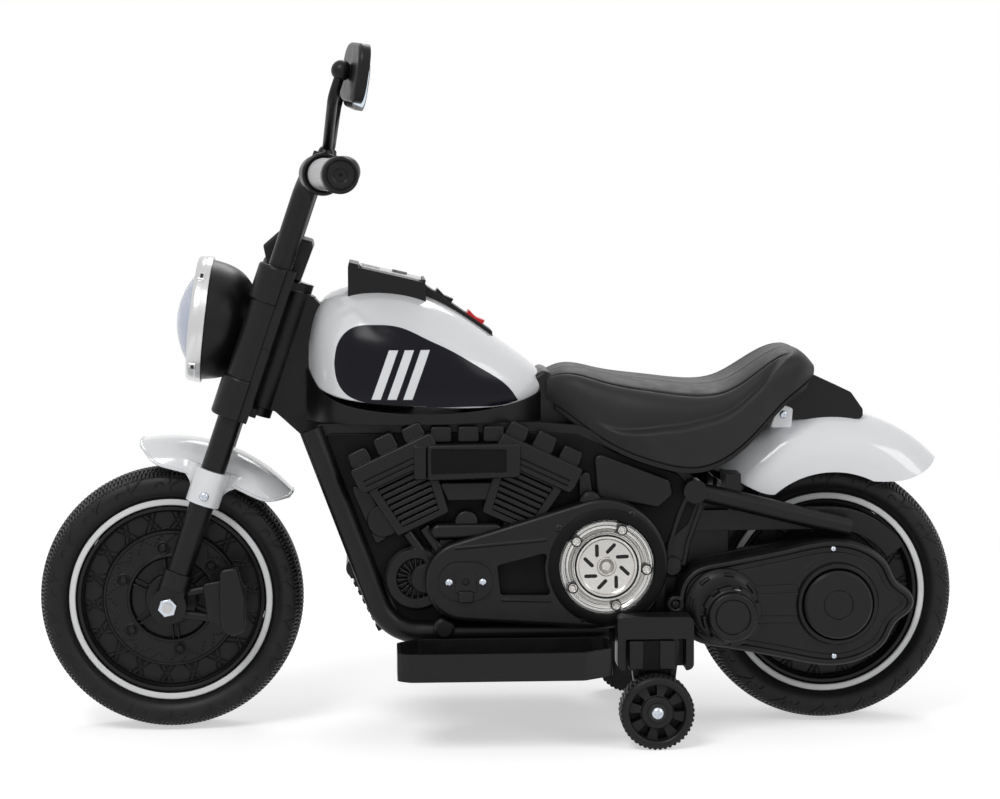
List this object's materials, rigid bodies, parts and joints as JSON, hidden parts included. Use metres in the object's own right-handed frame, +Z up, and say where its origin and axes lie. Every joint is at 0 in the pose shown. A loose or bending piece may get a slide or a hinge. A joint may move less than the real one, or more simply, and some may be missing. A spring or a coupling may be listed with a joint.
{
  "type": "kids electric motorbike",
  "caption": "Low chopper style ride-on motorbike for a small child, with raked fork, round head lamp, teardrop tank, scooped saddle, gear drive at the rear wheel and side stabilisers.",
  "frame": {"origin": "on the ground, midway between the two axles, in the plane of symmetry", "axes": "+X towards the rear, +Y towards the bike's right side, +Z up"},
  "size_m": [0.72, 0.3904, 0.5298],
  "materials": {
    "tyre": "satin moulded tyre",
    "satin_black": "satin charcoal black",
    "gloss_white": "glossy cool white",
    "saddle": "matt, fine grain",
    "grip_silver": "silver sleeve",
    "bright": "bright plated",
    "clear": "clear plastic",
    "mirror": "pale blue mirror",
    "steel": "zinc plated",
    "red": "red gloss",
    "grey": "dark grey",
    "nylon": "natural nylon",
    "board": "green lacquer",
    "dark": "black paper and steel"
  },
  "bodies": {
    "frame": {"frame_left": "satin_black", "frame_right": "satin_black", "engine_panels": "satin_black", "primary_covers": "satin_black", "side_lamp_reflectors": "bright", "side_lamp_lenses": "clear", "charge_socket": "satin_black", "tank_shell": "gloss_white", "tank_base": "satin_black", "dash_box": "satin_black", "seat": "saddle", "tail_box": "satin_black", "rear_fender": "gloss_white", "drive_cover_left": "satin_black", "drive_cover_right": "satin_black", "drive_caps": "satin_black", "rear_axle": "steel", "footrest_left": "satin_black", "footrest_right": "satin_black", "stabiliser_brackets": "satin_black", "battery": "grey", "drive_motor": "steel", "control_board": "board", "speaker": "dark", "belly_guard": "satin_black", "body_screws": "steel"},
    "fork": {"fork_legs": "satin_black", "fork_shoes": "satin_black", "front_fender": "gloss_white", "fork_covers": "satin_black", "upper_yoke": "satin_black", "lower_yoke": "satin_black", "steering_stem": "steel", "headlight_bowl": "satin_black", "headlight_rim": "bright", "headlight_lens": "clear", "gauge_pod": "satin_black", "handlebars": "satin_black", "grips": "grip_silver", "grip_caps": "satin_black", "mirror_stems": "satin_black", "front_axle": "steel", "fork_fasteners": "steel"},
    "front_wheel": {"front_tyre": "tyre", "front_rim": "satin_black"},
    "rear_wheel": {"rear_tyre": "tyre", "rear_rim": "satin_black", "drive_gear": "nylon"},
    "reduction": {"reduction_gear": "nylon"},
    "pinion": {"motor_pinion": "nylon"},
    "stabiliser_left": {"stabiliser_wheel_left": "satin_black"},
    "stabiliser_right": {"stabiliser_wheel_right": "satin_black"},
    "mirror_left": {"mirror_housing_left": "satin_black", "mirror_glass_left": "mirror"},
    "mirror_right": {"mirror_housing_right": "satin_black", "mirror_glass_right": "mirror"},
    "pedal": {"accelerator_pedal": "satin_black"},
    "direction_rocker": {"direction_switch": "satin_black"},
    "power_rocker": {"power_switch": "red"},
    "music_key": {"music_button": "grey"}
  },
  "joints": [
    {"name": "steering", "type": "hinge", "parent": "frame", "child": "fork", "pos_m": [-0.18937, 0, 0.24582], "axis": [0.3223, 0, 0.9466], "range_deg": [-25, 25]},
    {"name": "front_wheel_spin", "type": "hinge", "parent": "fork", "child": "front_wheel", "pos_m": [-0.257, 0, 0.103], "axis": [0, 1, 0], "continuous": true},
    {"name": "rear_wheel_spin", "type": "hinge", "parent": "frame", "child": "rear_wheel", "pos_m": [0.257, 0, 0.103], "axis": [0, 1, 0], "continuous": true},
    {"name": "reduction_spin", "type": "hinge", "parent": "frame", "child": "reduction", "pos_m": [0.2095, -0.054, 0.103], "axis": [0, 1, 0], "continuous": true},
    {"name": "motor_spin", "type": "hinge", "parent": "frame", "child": "pinion", "pos_m": [0.1765, -0.054, 0.103], "axis": [0, 1, 0], "continuous": true},
    {"name": "stabiliser_left_spin", "type": "hinge", "parent": "frame", "child": "stabiliser_left", "pos_m": [0.114, -0.108, 0.028], "axis": [0, 1, 0], "continuous": true},
    {"name": "stabiliser_right_spin", "type": "hinge", "parent": "frame", "child": "stabiliser_right", "pos_m": [0.114, 0.108, 0.028], "axis": [0, 1, 0], "continuous": true},
    {"name": "mirror_left_turn", "type": "hinge", "parent": "fork", "child": "mirror_left", "pos_m": [-0.11938, -0.142, 0.5088], "axis": [0.3223, 0, 0.9466], "range_deg": [-20, 20]},
    {"name": "mirror_right_turn", "type": "hinge", "parent": "fork", "child": "mirror_right", "pos_m": [-0.11938, 0.142, 0.5088], "axis": [0.3223, 0, 0.9466], "range_deg": [-20, 20]},
    {"name": "pedal_press", "type": "hinge", "parent": "frame", "child": "pedal", "pos_m": [0.01196, 0.103, 0.0655], "axis": [0, -1, 0], "range_deg": [0, 8], "stiffness_Nm_per_rad": 0.5, "springref_deg": -8.59},
    {"name": "direction_rock", "type": "hinge", "parent": "frame", "child": "direction_rocker", "pos_m": [-0.04477, 0, 0.33445], "axis": [0, 1, 0], "range_deg": [-8, 8]},
    {"name": "power_rock", "type": "hinge", "parent": "frame", "child": "power_rocker", "pos_m": [-0.02033, 0, 0.31753], "axis": [0, 1, 0], "range_deg": [-8, 8]},
    {"name": "music_press", "type": "slide", "parent": "frame", "child": "music_key", "axis": [-0.2304, 0, -0.9731], "range_m": [0, 0.0015], "stiffness_N_per_m": 300, "springref_m": -0.002}
  ],
  "couplings": [
    {"joint": "reduction_spin", "follows": "rear_wheel_spin", "ratio": -4.4286},
    {"joint": "motor_spin", "follows": "rear_wheel_spin", "ratio": 19.929}
  ]
}
